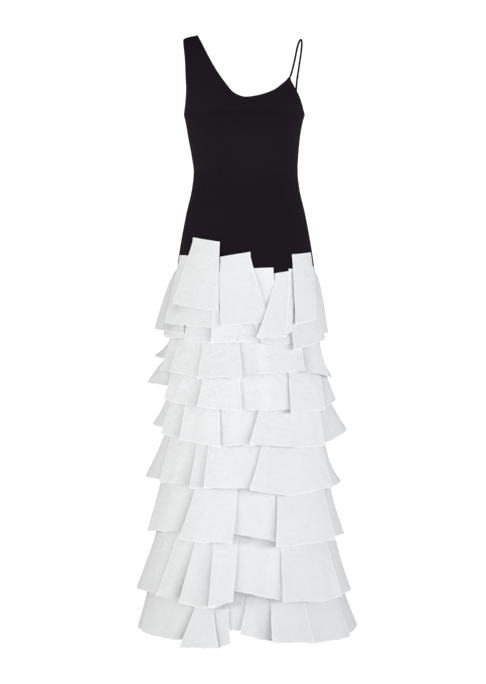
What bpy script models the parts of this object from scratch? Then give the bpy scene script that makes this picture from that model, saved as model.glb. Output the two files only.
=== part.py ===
"""A floor-length evening gown in the form it has when worn, hollow and with nobody in it.

A close black jersey bodice has one wide shoulder, one thin strap and a slanted neckline. Below the
hip a flared underskirt carries eight tiers of stiff white flaps, each sewn on by its top edge.
The origin is on the shoulder line, which is where the gown is held up. +Z is up, and the front faces -Y.
Angles run round the gown from the middle of the front, 0, to the +X side, 90, and the back, 180.
Every length in the tables is in centimetres, and a drop is a length below the shoulder line.
"""

import math
from collections import namedtuple

import bmesh
import bpy
from mathutils import Vector

# Cloth and seams, in metres
CM = 0.01
CLOTH = 0.001
SEAM_GAP = 0.0003
LAYER = CLOTH + SEAM_GAP
STRAP_THICKNESS = 0.005

# Heights, in centimetres below the shoulder line
UNDERARM_DROP = 19.0
HIP_SEAM_DROP = 59.0
UNDERSKIRT_HEM_DROP = 144.5
ARMHOLE_DEPTH = 19.0
SHOULDER_TOP = 0.95
SHOULDER_SLOPE = 0.33
SHOULDER_INNER = 11.75

# A section is a ring of flat facets, this many degrees each, which every layer on it shares
FACET = 10

# Flaps: the sewn strip along their tops, the slit between two of them, and how they stand off
SEWN_STRIP = 1.2
SLIT = 1.5
FLATNESS = 0.6
LEAST_COLUMN = 0.03
BEND_AT = 0.5
BEND_SHARE = 0.42
FRONT_REACH = 92.0
BACK_REACH = 86.0

Section = namedtuple("Section", "drop minus_x plus_x front back")
BODY = (
    Section(19.0, 15.3, 14.7, 10.5, 9.5),
    Section(21.5, 14.8, 14.1, 11.4, 9.6),
    Section(24.5, 14.3, 13.6, 11.8, 9.3),
    Section(30.0, 13.3, 13.1, 10.6, 8.6),
    Section(33.3, 12.9, 13.0, 9.6, 8.3),
    Section(37.3, 13.3, 13.4, 9.5, 8.9),
    Section(44.0, 14.8, 14.9, 10.3, 10.8),
    Section(53.5, 16.5, 16.6, 11.2, 12.3),
    Section(59.0, 17.2, 17.3, 11.6, 12.4),
    Section(75.0, 18.3, 18.3, 13.3, 13.6),
    Section(87.5, 18.95, 18.95, 14.65, 14.9),
    Section(100.0, 19.6, 19.6, 16.0, 16.2),
    Section(115.0, 21.0, 21.0, 17.6, 17.6),
    Section(137.5, 24.2, 24.2, 20.6, 20.4),
    Section(144.5, 25.0, 25.0, 21.4, 21.2),
    Section(152.0, 25.8, 25.8, 22.2, 22.0),
)

# Above the underarm a panel narrows to its armholes: edge is how far they lie before or behind the seam line
Armhole = namedtuple("Armhole", "rise minus_x plus_x edge middle")
FRONT_ARMHOLE = (
    Armhole(0.0, 15.3, 14.7, 0.0, 10.5),
    Armhole(2.5, 14.9, 13.9, 2.9, 10.2),
    Armhole(4.25, 14.7, 13.2, 4.1, 9.8),
    Armhole(6.25, 14.6, 12.1, 5.0, 9.3),
    Armhole(8.5, 14.7, 11.05, 5.5, 8.5),
    Armhole(13.0, 14.9, 11.2, 4.9, 6.6),
    Armhole(16.0, 15.2, 11.2, 3.4, 4.4),
    Armhole(18.0, 15.45, 11.2, 1.6, 2.0),
    Armhole(19.0, 15.55, 11.2, 0.0, 0.0),
)
BACK_ARMHOLE = (
    Armhole(0.0, 15.3, 14.7, 0.0, 9.5),
    Armhole(2.5, 14.9, 13.8, 2.6, 9.6),
    Armhole(4.25, 14.7, 12.3, 3.8, 9.6),
    Armhole(9.25, 14.7, 12.3, 4.6, 8.9),
    Armhole(13.0, 14.9, 12.3, 4.4, 7.2),
    Armhole(16.0, 15.2, 12.3, 3.2, 4.8),
    Armhole(18.0, 15.45, 12.3, 1.5, 2.1),
    Armhole(19.0, 15.55, 12.3, 0.0, 0.0),
)

# Top edge of each panel, from the armhole on the -X side to the one on the +X side
TopEdge = namedtuple("TopEdge", "angle height")
FRONT_TOP = (
    TopEdge(-90, -0.25),
    TopEdge(-50, 0.95),
    TopEdge(-40, -4.2),
    TopEdge(-30, -8.5),
    TopEdge(-20, -12.1),
    TopEdge(-10, -14.9),
    TopEdge(0, -15.8),
    TopEdge(10, -15.5),
    TopEdge(30, -14.1),
    TopEdge(50, -12.1),
    TopEdge(60, -11.4),
    TopEdge(70, -10.7),
    TopEdge(80, -10.0),
    TopEdge(90, -9.5),
)
BACK_TOP = (
    TopEdge(-90, -0.25),
    TopEdge(-50, 0.95),
    TopEdge(-40, -7.6),
    TopEdge(-30, -12.4),
    TopEdge(-20, -15.8),
    TopEdge(-10, -17.8),
    TopEdge(0, -18.4),
    TopEdge(20, -18.2),
    TopEdge(50, -17.2),
    TopEdge(90, -15.4),
)
RISE_SHARES = (0.0, 0.17, 0.34, 0.51, 0.68, 0.84, 0.95, 1.0)

# The strap's middle line over the shoulder, from the front's top corner to the back's
StrapPoint = namedtuple("StrapPoint", "x y z")
STRAP_ROUTE = (
    StrapPoint(11.2, -5.68, -9.43),
    StrapPoint(11.6, -5.6, -8.4),
    StrapPoint(12.15, -5.1, -6.1),
    StrapPoint(12.8, -3.7, -2.9),
    StrapPoint(13.4, -1.9, -0.9),
    StrapPoint(13.9, 0.1, -0.2),
    StrapPoint(14.15, 1.9, -0.8),
    StrapPoint(14.0, 3.5, -2.9),
    StrapPoint(13.55, 4.4, -6.0),
    StrapPoint(12.9, 4.4, -10.6),
    StrapPoint(12.65, 3.69, -15.3),
)
STRAP_STEPS = 3

# Flaps of the top tier, each sewn on by itself: angles of the top and of the hem, drops of their four
# corners, how far each hem corner stands off the gown, and how many layers hang between flap and gown
TopFlap = namedtuple(
    "TopFlap",
    "top_left top_right hem_left hem_right drop_tl drop_tr drop_hl drop_hr out_left out_right layer back_too",
)
TOP_FLAPS = (
    TopFlap(-92, -60, -92, -46, 56.3, 56.6, 72.4, 73.7, 4.5, 2.6, 0, True),
    TopFlap(-77, -50, -66, -27, 54.2, 54.8, 71.1, 72.5, 4.4, 3.4, 1, True),
    TopFlap(-52, -23, -55, -20, 50.0, 51.3, 66.4, 68.4, 3.8, 3.5, 2, True),
    TopFlap(-25, 1, -23, 8, 59.6, 59.6, 75.9, 75.9, 2.6, 1.6, 0, True),
    TopFlap(-21, 4, -15, 17, 55.0, 53.8, 72.1, 70.8, 2.8, 1.6, 1, True),
    TopFlap(6, 23, 10, 23, 57.8, 57.6, 64.0, 64.0, 0.15, 0.15, 0, False),
    TopFlap(24, 37, 7, 28, 59.0, 58.4, 74.7, 74.7, 3.6, 3.4, 2, True),
    TopFlap(38, 45, 36, 45, 57.8, 57.8, 66.8, 66.8, 1.2, 1.2, 0, False),
    TopFlap(44, 73, 37, 56, 54.3, 53.5, 71.5, 70.3, 2.8, 2.6, 1, True),
    TopFlap(72, 92, 46, 92, 57.0, 57.0, 74.5, 73.5, 2.3, 2.3, 0, True),
)

# Tiers sewn on as strips: where each is sewn, its hem line, and its flaps from the -X side to the +X side.
# Top is where a flap's left side starts on the strip, low how far a hem corner hangs below the hem line,
# and out how far it stands off the underskirt.
Tier = namedtuple("Tier", "name seam hem flaps")
Flap = namedtuple("Flap", "top left right low_left low_right out_left out_right")
TIERS = (
    Tier("tier_1_under", 64.0, 76.0, (
        Flap(-92, -92, -68, -2.0, -1.7, 2.2, 1.5),
        Flap(-70, -69, -45, -1.2, -1.2, 2.1, 1.5),
        Flap(-46, -46, -24, -0.9, 0.1, 2.1, 1.8),
        Flap(-25, -24, -7, -0.7, -0.7, 1.2, 1.2),
        Flap(0, 11, 33, 0.2, 0.2, 1.8, 1.5),
        Flap(36, 33, 70, 1.7, -0.6, 2.3, 1.7),
        Flap(72, 70, 92, -0.7, -1.3, 1.7, 1.4),
    )),
    Tier("tier_2", 70.8, 84.0, (
        Flap(-92, -92, -73, -4.9, -4.0, 4.1, 2.8),
        Flap(-76, -75, -53, -1.4, -0.9, 3.6, 2.7),
        Flap(-58, -55, -29, -0.9, 0.2, 3.5, 2.7),
        Flap(-32, -31, -2, 0.4, 0.2, 3.5, 2.7),
        Flap(-4, -3, 40, -0.4, -1.3, 3.5, 3.3),
        Flap(47, 37, 67, -1.0, 0.0, 2.5, 2.4),
        Flap(70, 65, 92, 0.1, 0.6, 3.2, 2.9),
    )),
    Tier("tier_3", 77.3, 92.0, (
        Flap(-92, -92, -63, -6.2, -5.4, 5.7, 3.3),
        Flap(-66, -65, -28, -2.5, -0.5, 4.2, 2.8),
        Flap(-30, -30, -2, -0.7, 0.5, 3.6, 2.8),
        Flap(-4, -4, 27, 0.0, 0.2, 3.6, 2.8),
        Flap(33, 28, 58, 0.9, 0.4, 3.6, 3.2),
        Flap(74, 55, 92, 0.4, -1.8, 2.4, 3.5),
    )),
    Tier("tier_4", 84.3, 100.5, (
        Flap(-92, -92, -59, -4.2, -3.7, 3.9, 3.0),
        Flap(-64, -61, -40, -2.3, -1.4, 3.9, 3.0),
        Flap(-47, -42, -15, -1.1, 0.6, 3.9, 3.0),
        Flap(-18, -17, 5, 0.2, 0.0, 3.8, 2.8),
        Flap(14, 2, 55, -0.4, 0.4, 4.0, 3.2),
        Flap(65, 53, 92, 0.1, -2.7, 4.2, 5.9),
    )),
    Tier("tier_5", 94.8, 111.0, (
        Flap(-92, -92, -56, -1.6, -1.6, 4.7, 3.0),
        Flap(-66, -58, -33, -1.1, -0.9, 4.0, 3.1),
        Flap(-35, -34, -22, -0.1, 0.0, 3.9, 3.2),
        Flap(-26, -24, 5, -0.3, -0.4, 4.0, 3.0),
        Flap(14, 2, 54, 0.0, 1.5, 4.2, 3.6),
        Flap(66, 50, 92, 1.0, -0.4, 2.8, 3.3),
    )),
    Tier("tier_6", 107.3, 123.0, (
        Flap(-92, -92, -66, 0.1, -0.8, 2.5, 2.1),
        Flap(-82, -69, -37, -0.9, -1.4, 3.0, 2.6),
        Flap(-34, -39, -7, 0.0, 0.6, 3.5, 3.4),
        Flap(-3, -9, 18, -1.8, 0.6, 2.5, 2.5),
        Flap(22, 16, 61, 1.6, 1.0, 3.6, 3.2),
        Flap(63, 59, 92, 0.4, 0.5, 2.5, 2.5),
    )),
    Tier("tier_7", 120.8, 137.5, (
        Flap(-92, -92, -49, -0.3, -0.6, 3.1, 2.4),
        Flap(-48, -51, -33, -0.4, -0.4, 3.3, 2.6),
        Flap(-32, -35, -16, 0.5, 1.4, 3.5, 2.8),
        Flap(-20, -18, -6, 1.1, -0.4, 3.8, 3.6),
        Flap(-3, -8, 19, -2.8, -0.3, 2.8, 2.6),
        Flap(22, 18, 57, 0.0, 0.0, 3.6, 3.2),
        Flap(62, 55, 92, 0.0, 0.1, 2.4, 2.2),
    )),
    Tier("tier_8", 134.8, 147.5, (
        Flap(-92, -92, -65, -0.4, -0.8, 1.7, 1.3),
        Flap(-72, -67, -31, -0.8, -0.4, 2.1, 1.5),
        Flap(-27, -34, -13, 1.1, 1.0, 2.6, 2.1),
        Flap(-18, -15, -7, 0.9, -0.2, 2.9, 2.7),
        Flap(1, -3, 15, -2.5, -0.3, 2.2, 1.7),
        Flap(14, 13, 35, -0.3, -0.1, 2.6, 2.8),
        Flap(36, 33, 65, 0.5, 0.3, 2.0, 1.8),
        Flap(66, 63, 92, 0.1, -1.1, 2.6, 2.7),
    )),
)

# How much the flaps at the back differ from those at the front
BACK_HEM_CHANGE = 0.5


def between(low, high, share):
    return low + (high - low) * share


def read_table(rows, key, place):
    """The row of a table at a place between two of its rows, or its end row past them."""
    first = rows[0]
    for second in rows[1:]:
        start, end = getattr(first, key), getattr(second, key)
        if place <= end or second is rows[-1]:
            share = min(1.0, max(0.0, (place - start) / (end - start)))
            return type(first)(*(between(a, b, share) for a, b in zip(first, second)))
        first = second
    return first


def section_corner(drop, angle, out):
    """A corner of the faceted section at a drop, moved out by a distance in centimetres."""
    section = read_table(BODY, "drop", drop)
    turn = math.radians(angle)
    side = section.plus_x if math.sin(turn) > 0 else section.minus_x
    depth = section.front if math.cos(turn) > 0 else section.back
    x = (side + out) * math.sin(turn)
    y = -(depth + out) * math.cos(turn)
    return Vector((x, y, -drop)) * CM


def on_section(drop, angle, out):
    """A point on the flat facets of the section at a drop, so that layers stay parallel."""
    low = math.floor(angle / FACET) * FACET
    start = section_corner(drop, low, out)
    end = section_corner(drop, low + FACET, out)
    return start.lerp(end, (angle - low) / FACET)


def facet_angles(left, right):
    """An edge, the facet corners inside it and the other edge, none closer than half a degree."""
    corners = range(math.ceil((left + 0.5) / FACET) * FACET, math.floor(right - 0.5) + 1, FACET)
    return [left, *corners, right]


def stand_off(share):
    """How much of its stand-off a flap has reached, from its sewn strip, 0, to its hem, 1."""
    if share < BEND_AT:
        return BEND_SHARE * share / BEND_AT
    return between(BEND_SHARE, 1.0, (share - BEND_AT) / (1.0 - BEND_AT))


# Materials
def cloth_material(name, colour, roughness):
    material = bpy.data.materials.new(name)
    material.use_nodes = True
    shader = material.node_tree.nodes["Principled BSDF"]
    shader.inputs["Base Color"].default_value = (*colour, 1.0)
    shader.inputs["Roughness"].default_value = roughness
    shader.inputs["Metallic"].default_value = 0.0
    return material


# Objects
def add_object(name, data, material):
    piece = bpy.data.objects.new(name, data)
    piece.data.materials.append(material)
    piece.parent = shoulder_line
    gown.objects.link(piece)
    return piece


def add_cloth(name, bm, material):
    """An open surface with its cloth thickness added outwards."""
    mesh = bpy.data.meshes.new(name)
    bm.to_mesh(mesh)
    bm.free()
    mesh.shade_smooth()
    mesh.set_sharp_from_angle(angle=math.radians(35))
    piece = add_object(name, mesh, material)
    wall = piece.modifiers.new("cloth", "SOLIDIFY")
    wall.thickness = CLOTH
    wall.offset = 1.0
    wall.use_even_offset = True
    return piece


def add_grid(bm, rows):
    """Faces between rows of points that run down the cloth, each row from left to right."""
    corners = [[bm.verts.new(point) for point in row] for row in rows]
    for upper, lower in zip(corners, corners[1:]):
        for i in range(len(upper) - 1):
            bm.faces.new((upper[i], lower[i], lower[i + 1], upper[i + 1]))
    return corners


# Bodice
def side_gap(point, facing):
    """Keeps a front or back panel clear of the other one at the seam between them."""
    clear = SEAM_GAP / 2
    point.y = min(point.y, -clear) if facing == "front" else max(point.y, clear)
    return point


def bodice_point(angle, height, armhole, facing):
    """A point above the underarm, where the panel narrows to its armholes and leans to the shoulder."""
    turn = math.radians(angle)
    side = math.sin(turn)
    shoulder_width = armhole[-1].minus_x
    shoulder = SHOULDER_TOP - SHOULDER_SLOPE * max(0.0, abs(side) * shoulder_width - SHOULDER_INNER)
    rise = ARMHOLE_DEPTH * (height + UNDERARM_DROP) / (shoulder + UNDERARM_DROP)
    row = read_table(armhole, "rise", rise)
    x = side * (row.plus_x if side > 0 else row.minus_x)
    depth = row.edge + (row.middle - row.edge) * math.cos(turn)
    y = -depth if facing == "front" else depth
    return side_gap(Vector((x, y, height)) * CM, facing)


def lower_rows(facing, first_drop, last_drop):
    """Rows of a panel between two drops, at the table's own sections."""
    drops = [row.drop for row in BODY if first_drop < row.drop < last_drop]
    turn = 0 if facing == "front" else 180
    rows = []
    for drop in (first_drop, *drops, last_drop):
        angles = range(-90, 91, FACET)
        rows.append([side_gap(section_corner(drop, turn + a, 0.0), facing) for a in angles])
    return rows


def add_bodice_panel(facing, armhole, top_edge):
    rows = []
    for share in reversed(RISE_SHARES[1:]):
        row = []
        for angle in range(-90, 91, FACET):
            top = read_table(top_edge, "angle", angle).height
            row.append(bodice_point(angle, between(-UNDERARM_DROP, top, share), armhole, facing))
        rows.append(row if facing == "front" else row[::-1])
    rows += lower_rows(facing, UNDERARM_DROP, HIP_SEAM_DROP)
    bm = bmesh.new()
    add_grid(bm, rows)
    add_cloth(f"bodice_{facing}", bm, black_jersey)


def add_strap():
    """A rolled strap on a smooth curve through its route."""
    ends = [STRAP_ROUTE[0], *STRAP_ROUTE, STRAP_ROUTE[-1]]
    route = [Vector(point) * CM for point in ends]
    points = []
    for before, start, end, after in zip(route, route[1:], route[2:], route[3:]):
        for step in range(STRAP_STEPS):
            t = step / STRAP_STEPS
            pull = (end - before) * t + (2 * before - 5 * start + 4 * end - after) * t**2
            points.append(start + (pull + (3 * start - before - 3 * end + after) * t**3) / 2)
    points.append(route[-1])
    curve = bpy.data.curves.new("shoulder_strap", "CURVE")
    curve.dimensions = "3D"
    curve.bevel_depth = STRAP_THICKNESS / 2
    curve.bevel_resolution = 1
    curve.use_fill_caps = True
    spline = curve.splines.new("POLY")
    spline.points.add(len(points) - 1)
    for corner, point in zip(spline.points, points):
        corner.co = (*point, 1.0)
    add_object("shoulder_strap", curve, black_jersey)


# Skirt
def add_underskirt(facing):
    bm = bmesh.new()
    top = HIP_SEAM_DROP + SEAM_GAP / CM
    add_grid(bm, lower_rows(facing, top, UNDERSKIRT_HEM_DROP))
    add_cloth(f"underskirt_{facing}", bm, white_cloth)


def column_shares(tops, hems):
    """Shares across a flap whose columns meet the facet corners of its top, and of its hem where there is room."""
    shares = [(angle - tops[0]) / (tops[1] - tops[0]) for angle in facet_angles(*tops)]
    for angle in facet_angles(*hems):
        share = (angle - hems[0]) / (hems[1] - hems[0])
        if min(abs(share - other) for other in shares) > LEAST_COLUMN:
            shares.append(share)
    return sorted(shares)


def flap_rows(tops, hems, strip_drops, hem_drops, outs, layer):
    """A flap's points below its sewn strip: its bend and its hem. A stiff flap is flatter than the ring."""
    left, right = tops[0], tops[-1]
    seat = (layer + 1) * LAYER / CM
    half_span = math.radians(hems[1] - hems[0]) / 2
    rows = []
    for share in (BEND_AT, 1.0):
        row = []
        for top, strip in zip(tops, strip_drops):
            across = (top - left) / (right - left)
            angle = between(top, between(*hems, across), share)
            drop = between(strip, between(*hem_drops, across), share)
            radius = read_table(BODY, "drop", drop).front
            hollow = FLATNESS * radius * (1 - math.cos(half_span)) * 4 * across * (1 - across)
            out = (between(*outs, across) - hollow) * stand_off(share)
            row.append(on_section(drop, angle, seat + out))
        rows.append(row)
    return rows


def add_top_flap(name, flap):
    """One flap of the top tier, lying flat where it is sewn and standing off below."""
    hems = (flap.hem_left, flap.hem_right)
    shares = column_shares((flap.top_left, flap.top_right), hems)
    tops = [between(flap.top_left, flap.top_right, share) for share in shares]
    drops = [between(flap.drop_tl, flap.drop_tr, share) for share in shares]
    strip = [drop + SEWN_STRIP for drop in drops]
    rows = [
        [on_section(drop, angle, LAYER / CM) for drop, angle in zip(drops, tops)],
        [on_section(drop, angle, LAYER / CM) for drop, angle in zip(strip, tops)],
    ]
    hem_drops = (flap.drop_hl, flap.drop_hr)
    rows += flap_rows(tops, hems, strip, hem_drops, (flap.out_left, flap.out_right), flap.layer)
    bm = bmesh.new()
    add_grid(bm, rows)
    add_cloth(name, bm, white_cloth)


def add_strip(name, tier, flaps):
    """A strip of flaps: slits part them up to the strip's sewn edge."""
    bm = bmesh.new()
    seat = LAYER / CM
    strip_foot = tier.seam + SEWN_STRIP
    strip_ends = [flap.top for flap in flaps[1:]] + [flaps[-1].right + SLIT]
    last_pair = None
    for flap, next_top in zip(flaps, strip_ends):
        tops = facet_angles(flap.top, next_top - SLIT)
        rows = [
            [on_section(tier.seam, angle, seat) for angle in tops],
            [on_section(strip_foot, angle, seat) for angle in tops],
        ]
        hem_drops = (tier.hem + flap.low_left, tier.hem + flap.low_right)
        outs = (flap.out_left, flap.out_right)
        strip_drops = [strip_foot] * len(tops)
        rows += flap_rows(tops, (flap.left, flap.right), strip_drops, hem_drops, outs, 0)
        corners = add_grid(bm, rows)
        if last_pair:
            add_slit(bm, tier, last_pair, (tops[0], corners[0][0], corners[1][0]))
        last_pair = (tops[-1], corners[0][-1], corners[1][-1])
    add_cloth(name, bm, white_cloth)


def add_slit(bm, tier, start, end):
    """The sewn strip over a slit, between the flap on its left and the one on its right."""
    seat = LAYER / CM
    (left, upper, lower), (right, last_upper, last_lower) = start, end
    for angle in facet_angles(left, right)[1:-1]:
        next_upper = bm.verts.new(on_section(tier.seam, angle, seat))
        next_lower = bm.verts.new(on_section(tier.seam + SEWN_STRIP, angle, seat))
        bm.faces.new((upper, lower, next_lower, next_upper))
        upper, lower = next_upper, next_lower
    bm.faces.new((upper, lower, last_lower, last_upper))


def at_back(angle):
    """The place at the back that lies behind a place at the front."""
    return 180.0 - angle * BACK_REACH / FRONT_REACH


def back_flaps(flaps):
    """The front's flaps seen through to the back, with their inner hems changed a little."""
    turned = []
    ends = [flap.top for flap in flaps[1:]] + [flaps[-1].right + SLIT]
    for number, (flap, end) in enumerate(zip(flaps, ends)):
        inner = 0 < number < len(flaps) - 1
        change = BACK_HEM_CHANGE * math.sin(2.4 * number + 1.0) if inner else 0.0
        turned.append(Flap(
            at_back(end - SLIT),
            at_back(flap.right),
            at_back(flap.left),
            flap.low_right + change,
            flap.low_left - change,
            flap.out_right,
            flap.out_left,
        ))
    return turned[::-1]


def back_top_flap(flap):
    return TopFlap(
        at_back(flap.top_right), at_back(flap.top_left),
        at_back(flap.hem_right), at_back(flap.hem_left),
        flap.drop_tr, flap.drop_tl, flap.drop_hr, flap.drop_hl,
        flap.out_right, flap.out_left, flap.layer, True,
    )


def add_top_tier():
    for number, flap in enumerate(TOP_FLAPS, start=1):
        add_top_flap(f"top_flap_front_{number}", flap)
        if flap.back_too:
            add_top_flap(f"top_flap_back_{number}", back_top_flap(flap))


def add_tiers():
    for tier in TIERS:
        add_strip(f"{tier.name}_front", tier, tier.flaps)
        add_strip(f"{tier.name}_back", tier, back_flaps(tier.flaps))


for old in list(bpy.data.objects):
    bpy.data.objects.remove(old)

gown = bpy.data.collections.new("evening_gown")
bpy.context.scene.collection.children.link(gown)
shoulder_line = bpy.data.objects.new("shoulder_line", None)
gown.objects.link(shoulder_line)
black_jersey = cloth_material("black_jersey", (0.0137, 0.0103, 0.0144), 0.85)
white_cloth = cloth_material("white_cloth", (0.82, 0.82, 0.83), 0.75)

add_bodice_panel("front", FRONT_ARMHOLE, FRONT_TOP)
add_bodice_panel("back", BACK_ARMHOLE, BACK_TOP)
add_strap()
add_underskirt("front")
add_underskirt("back")
add_top_tier()
add_tiers()
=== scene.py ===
"""Dresses the evening gown: fine cloth on the form of its solids, creases, stitching, light and camera.

Angles run round the gown from the middle of the front, 0, to the +X side, 90, and the back, 180.
Every length in the tables is in centimetres, and a drop is a length below the shoulder line.
"""

import math
from collections import namedtuple

import bpy
import numpy as np
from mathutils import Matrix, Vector


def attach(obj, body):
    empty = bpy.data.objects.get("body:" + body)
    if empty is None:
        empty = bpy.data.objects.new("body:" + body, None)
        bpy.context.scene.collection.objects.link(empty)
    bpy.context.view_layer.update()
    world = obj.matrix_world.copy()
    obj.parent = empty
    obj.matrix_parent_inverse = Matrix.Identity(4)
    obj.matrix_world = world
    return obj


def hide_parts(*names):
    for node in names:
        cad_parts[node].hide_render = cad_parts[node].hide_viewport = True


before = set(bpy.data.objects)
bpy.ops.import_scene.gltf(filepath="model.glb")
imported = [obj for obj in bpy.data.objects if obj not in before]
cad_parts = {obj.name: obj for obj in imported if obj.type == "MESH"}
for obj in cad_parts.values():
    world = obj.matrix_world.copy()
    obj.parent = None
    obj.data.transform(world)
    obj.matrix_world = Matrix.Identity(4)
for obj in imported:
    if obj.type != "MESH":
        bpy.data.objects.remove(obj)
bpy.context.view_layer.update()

CM = 0.01

# Cloth thicknesses, the angle past which an edge is sharp, and how far a sewn strip lies off the gown
JERSEY = 0.08
FLAP_CLOTH = 0.06
SHARP_ANGLE = 50.0
SEAT = 0.13

# The bodice and the underskirt: their ends and openings, and the bodice's turned edges
UNDERARM_DROP = 19.0
HIP_SEAM_DROP = 59.0
UNDERSKIRT_HEM_DROP = 144.5
ARMHOLE_DEPTH = 19.0
SHOULDER_TOP = 0.95
SHOULDER_SLOPE = 0.33
SHOULDER_INNER = 11.75
SHOULDER_ANGLE = -50.0
SIDE_CLEARANCE = 0.002
TURNED_EDGE = 0.7
TURNED_EDGE_STEP = 0.12
TURNED_EDGE_RISE = 0.05
FOLDS_END_ABOVE_HIP = 2.0
FOLDS_FADE_OVER = 4.0
HIP_SEAM_GAP = 0.03
UNDERSKIRT_SIDE_GAP = 0.1
UNDERSKIRT_FOLDS = 13.0
UNDERSKIRT_FOLD_DEPTH = 0.25

# How finely the bodice and underskirt are made: degrees between columns, and rows above and below the
# underarm, closer together towards the top edge
PANEL_STEP = 2.5
UPPER_ROWS = 36
UPPER_ROWS_CLOSER = 1.5
LOWER_ROWS = 70
UNDERSKIRT_COLUMNS = 73
UNDERSKIRT_ROWS = 90

# A flap's sewn strip and the slit, in degrees, between two of them, then the rows and columns that it is
# made with: the strip's own rows are shares of its height above the flap
SEWN_STRIP = 1.2
SLIT = 1.5
STRIP_ROWS = (-1.0, -0.45)
FLAP_ROWS = 22
FLAP_COLUMNS = 32

# A flap hangs flatter than the round gown, by this share, and stands off it more and more towards its hem
FLATNESS = 0.6
BEND_POWER = 1.25

# How far an edge is lifted at its strip and hem: on top of a neighbour, and for each layer beneath it
STRIP_LIFT = 0.1
HEM_LIFT = 0.36
LAYER_LIFT = 0.3

# A covered flap: how many degrees it runs on under its neighbour and over how many it gives way to it,
# how much its hem rises there, how low it lies in the space under the other one, and over how many
# degrees it sinks towards it
TUCK = 9.0
TUCK_BLEND = 3.0
TUCK_RISE = 1.4
TUCK_DEPTH = 0.6
DIP_REACH = 12.0

# Painted shade on the covered cloth beside a covering edge, where that edge's shadow falls: how much
# darker it is drawn for each centimetre that it sinks, and how far out from the edge it reaches: first in a
# narrow line, then in a soft band
EDGE_DIM = 0.2
EDGE_REACH = 0.45
DIP_DIM = 0.2
DIP_BAND = 3.7

# The back has the front's tiers in a narrower reach, in degrees, with its own waves, creases and hems
FRONT_REACH = 92.0
BACK_REACH = 86.0
BACK_HEM_CHANGE = 0.5
BACK_WAVE_START = 4.5
BACK_CREASE_TURN = 5.0
BACK_CREASE_DEPTH = 0.8
BACK_CORNER_TURN = 4.0

# Waves of the cloth: their share of the height, how many there are, and how they shift from one tier or
# flap to the next and from the strip to the hem. A tier's die out where the gown's side is seen edge on,
# and all go on a little below the usual hem.
Wave = namedtuple("Wave", "height turns start lean", defaults=(0.0,))
TIER_WAVE = 0.07
TIER_WAVES = (Wave(1.0, 5.0, 1.7), Wave(0.7, 11.0, 2.3, 2.0), Wave(0.5, 19.0, -1.1, 3.0))
TIER_WAVE_CALM = 0.25
TOP_WAVE = 0.05
TOP_WAVES = (Wave(1.0, 7.0, 2.1), Wave(0.6, 15.0, -1.3, 3.0))
WAVE_GROWTH = 1.3
BELOW_HEM = 1.3
HEM_WAVE = 0.08
HEM_WAVES = (Wave(1.0, 5.0, 1.0), Wave(0.6, 13.0, 1.7), Wave(0.55, 31.0, -2.3))
SIDE_EDGE_WAVE = 0.32

# A crease deepens towards the hem and has a raised rim on both sides
CREASE_GROWTH = 1.2
CREASE_RIM = 0.4
CREASE_RIM_PLACE = 1.9

# Where each piece's weave begins, in metres, so that neighbours don't look alike
STRAP_WEAVE = 0.7
UNDERSKIRT_WEAVE = 2.3
TIER_WEAVE = 0.31
TOP_WEAVE = 0.17

# The body of the gown: at each drop, how far its two sides, its front and its back lie from its middle
Section = namedtuple("Section", "drop minus_x plus_x front back")
BODY = (
    Section(19.0, 15.3, 14.7, 10.5, 9.5),
    Section(21.5, 14.8, 14.1, 11.4, 9.6),
    Section(24.5, 14.3, 13.6, 11.8, 9.3),
    Section(30.0, 13.3, 13.1, 10.6, 8.6),
    Section(33.3, 12.9, 13.0, 9.6, 8.3),
    Section(37.3, 13.3, 13.4, 9.5, 8.9),
    Section(44.0, 14.8, 14.9, 10.3, 10.8),
    Section(53.5, 16.5, 16.6, 11.2, 12.3),
    Section(59.0, 17.2, 17.3, 11.6, 12.4),
    Section(75.0, 18.3, 18.3, 13.3, 13.6),
    Section(87.5, 18.95, 18.95, 14.65, 14.9),
    Section(100.0, 19.6, 19.6, 16.0, 16.2),
    Section(115.0, 21.0, 21.0, 17.6, 17.6),
    Section(137.5, 24.2, 24.2, 20.6, 20.4),
    Section(144.5, 25.0, 25.0, 21.4, 21.2),
    Section(152.0, 25.8, 25.8, 22.2, 22.0),
)

# Above the underarm a panel narrows to its armholes: edge is how far these lie from the side seam's line,
# to the front or back, and middle how far the middle of the panel does
Armhole = namedtuple("Armhole", "rise minus_x plus_x edge middle")
FRONT_ARMHOLE = (
    Armhole(0.0, 15.3, 14.7, 0.0, 10.5),
    Armhole(2.5, 14.9, 13.9, 2.9, 10.2),
    Armhole(4.25, 14.7, 13.2, 4.1, 9.8),
    Armhole(6.25, 14.6, 12.1, 5.0, 9.3),
    Armhole(8.5, 14.7, 11.05, 5.5, 8.5),
    Armhole(13.0, 14.9, 11.2, 4.9, 6.6),
    Armhole(16.0, 15.2, 11.2, 3.4, 4.4),
    Armhole(18.0, 15.45, 11.2, 1.6, 2.0),
    Armhole(19.0, 15.55, 11.2, 0.0, 0.0),
)
BACK_ARMHOLE = (
    Armhole(0.0, 15.3, 14.7, 0.0, 9.5),
    Armhole(2.5, 14.9, 13.8, 2.6, 9.6),
    Armhole(4.25, 14.7, 12.3, 3.8, 9.6),
    Armhole(9.25, 14.7, 12.3, 4.6, 8.9),
    Armhole(13.0, 14.9, 12.3, 4.4, 7.2),
    Armhole(16.0, 15.2, 12.3, 3.2, 4.8),
    Armhole(18.0, 15.45, 12.3, 1.5, 2.1),
    Armhole(19.0, 15.55, 12.3, 0.0, 0.0),
)

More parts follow.
